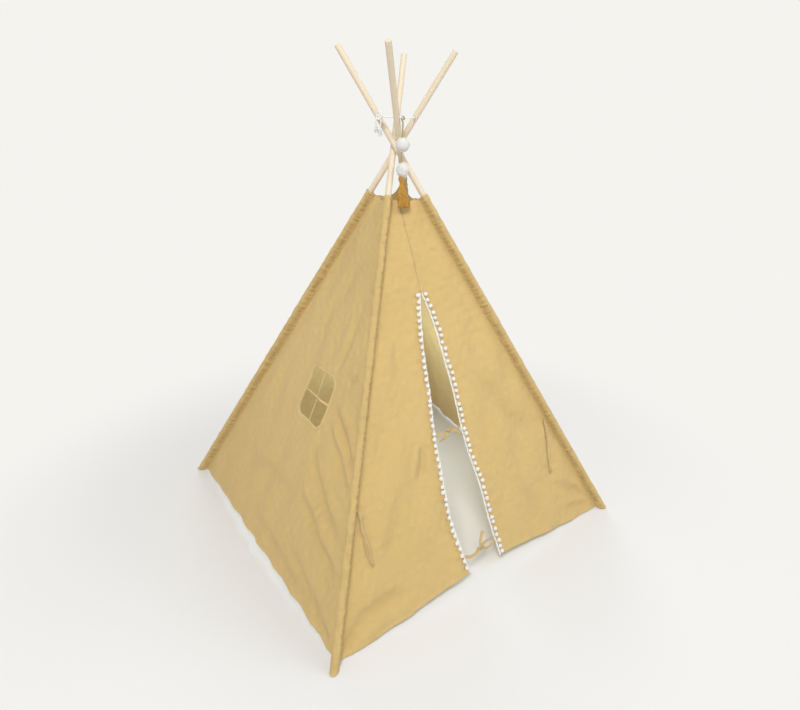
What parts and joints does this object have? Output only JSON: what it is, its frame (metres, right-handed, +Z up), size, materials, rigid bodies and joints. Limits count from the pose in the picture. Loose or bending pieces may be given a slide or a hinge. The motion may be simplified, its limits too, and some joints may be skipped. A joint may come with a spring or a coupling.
{
  "type": "kids teepee",
  "caption": "Play teepee of crossed wooden poles roped at the top, with a sleeved cotton cover, pompom-edged door slit, small window and hanging felt ornament",
  "frame": {"origin": "on the floor, at the middle of the base square, straight under the crossing of the poles", "axes": "+Z up; the door faces -Y; the window faces -X"},
  "size_m": [1.2018, 1.2176, 1.6176],
  "materials": {
    "pine": "bare sanded pine dowel",
    "cotton": "matt plain-weave cotton canvas, ochre",
    "cotton_edge": "matt cotton binding",
    "white_yarn": "matt white yarn and felt",
    "ochre_yarn": "matt yarn tassel",
    "ribbon_tan": "matt folded cotton strip",
    "steel": "plain drawn tube"
  },
  "bodies": {
    "root": {"left_panel": "cotton", "back_panel": "cotton", "right_panel": "cotton", "front_left_panel": "cotton", "front_right_panel": "cotton", "window_binding": "cotton_edge", "window_cross": "cotton_edge", "rope": "white_yarn", "rope_knot": "white_yarn", "rope_tail_1": "white_yarn", "rope_tail_2": "white_yarn", "rope_tuft_1": "white_yarn", "rope_tuft_2": "white_yarn"},
    "front_left_pole": {"lower_pole_front_left": "pine", "upper_pole_front_left": "pine", "ferrule_front_left": "steel", "sleeve_front_left": "cotton", "tieback_left": "ribbon_tan"},
    "back_left_pole": {"lower_pole_back_left": "pine", "upper_pole_back_left": "pine", "ferrule_back_left": "steel", "sleeve_back_left": "cotton"},
    "back_right_pole": {"lower_pole_back_right": "pine", "upper_pole_back_right": "pine", "ferrule_back_right": "steel", "sleeve_back_right": "cotton"},
    "front_right_pole": {"lower_pole_front_right": "pine", "upper_pole_front_right": "pine", "ferrule_front_right": "steel", "sleeve_front_right": "cotton", "tieback_right": "ribbon_tan"},
    "left_door": {"left_door_flap": "cotton", "left_door_trim": "white_yarn", "upper_tie_left": "ribbon_tan", "lower_tie_left": "ribbon_tan"},
    "right_door": {"right_door_flap": "cotton", "right_door_trim": "white_yarn", "upper_tie_right": "ribbon_tan", "upper_tie_knot": "ribbon_tan", "upper_tie_tail": "ribbon_tan", "lower_tie_right": "ribbon_tan", "lower_tie_knot": "ribbon_tan", "lower_tie_tail": "ribbon_tan"},
    "ornament": {"ornament_cord": "ribbon_tan", "upper_ball": "white_yarn", "lower_ball": "white_yarn", "tassel": "ochre_yarn"}
  },
  "joints": [
    {"name": "fold", "type": "hinge", "parent": "root", "child": "front_left_pole", "pos_m": [-0.00725, 0.00725, 1.32], "axis": [0.7071, -0.7071, 0], "range_deg": [0, 22.5], "deforming": ["left_panel", "back_panel", "right_panel", "front_left_panel", "front_right_panel", "window_binding", "window_cross", "left_door_flap", "right_door_flap", "left_door_trim", "right_door_trim", "upper_tie_left", "upper_tie_right", "upper_tie_knot", "upper_tie_tail", "lower_tie_left", "lower_tie_right", "lower_tie_knot", "lower_tie_tail", "tieback_left", "tieback_right", "rope"]},
    {"name": "fold_back_left", "type": "hinge", "parent": "root", "child": "back_left_pole", "pos_m": [0.01514, 0.01514, 1.32], "axis": [-0.7071, -0.7071, 0], "range_deg": [0, 22.5]},
    {"name": "fold_back_right", "type": "hinge", "parent": "root", "child": "back_right_pole", "pos_m": [0.00725, -0.00725, 1.32], "axis": [-0.7071, 0.7071, 0], "range_deg": [0, 22.5]},
    {"name": "fold_front_right", "type": "hinge", "parent": "root", "child": "front_right_pole", "pos_m": [-0.01514, -0.01514, 1.32], "axis": [0.7071, 0.7071, 0], "range_deg": [0, 22.5]},
    {"name": "left_door_swing", "type": "hinge", "parent": "front_left_pole", "child": "left_door", "pos_m": [-0.03, -0.17551, 0.87902], "axis": [0.3254, 0.3704, 0.87], "range_deg": [-150, 0]},
    {"name": "right_door_swing", "type": "hinge", "parent": "front_right_pole", "child": "right_door", "pos_m": [-0.03, -0.17551, 0.87902], "axis": [0.3238, -0.3826, -0.8653], "range_deg": [-150, 0]},
    {"name": "ornament_swing", "type": "hinge", "parent": "root", "child": "ornament", "pos_m": [-0.018, -0.05976, 1.40996], "axis": [-1, 0, 0], "range_deg": [0, 30]}
  ],
  "couplings": [
    {"joint": "fold_back_left", "follows": "fold", "ratio": 1},
    {"joint": "fold_back_right", "follows": "fold", "ratio": 1},
    {"joint": "fold_front_right", "follows": "fold", "ratio": 1}
  ]
}
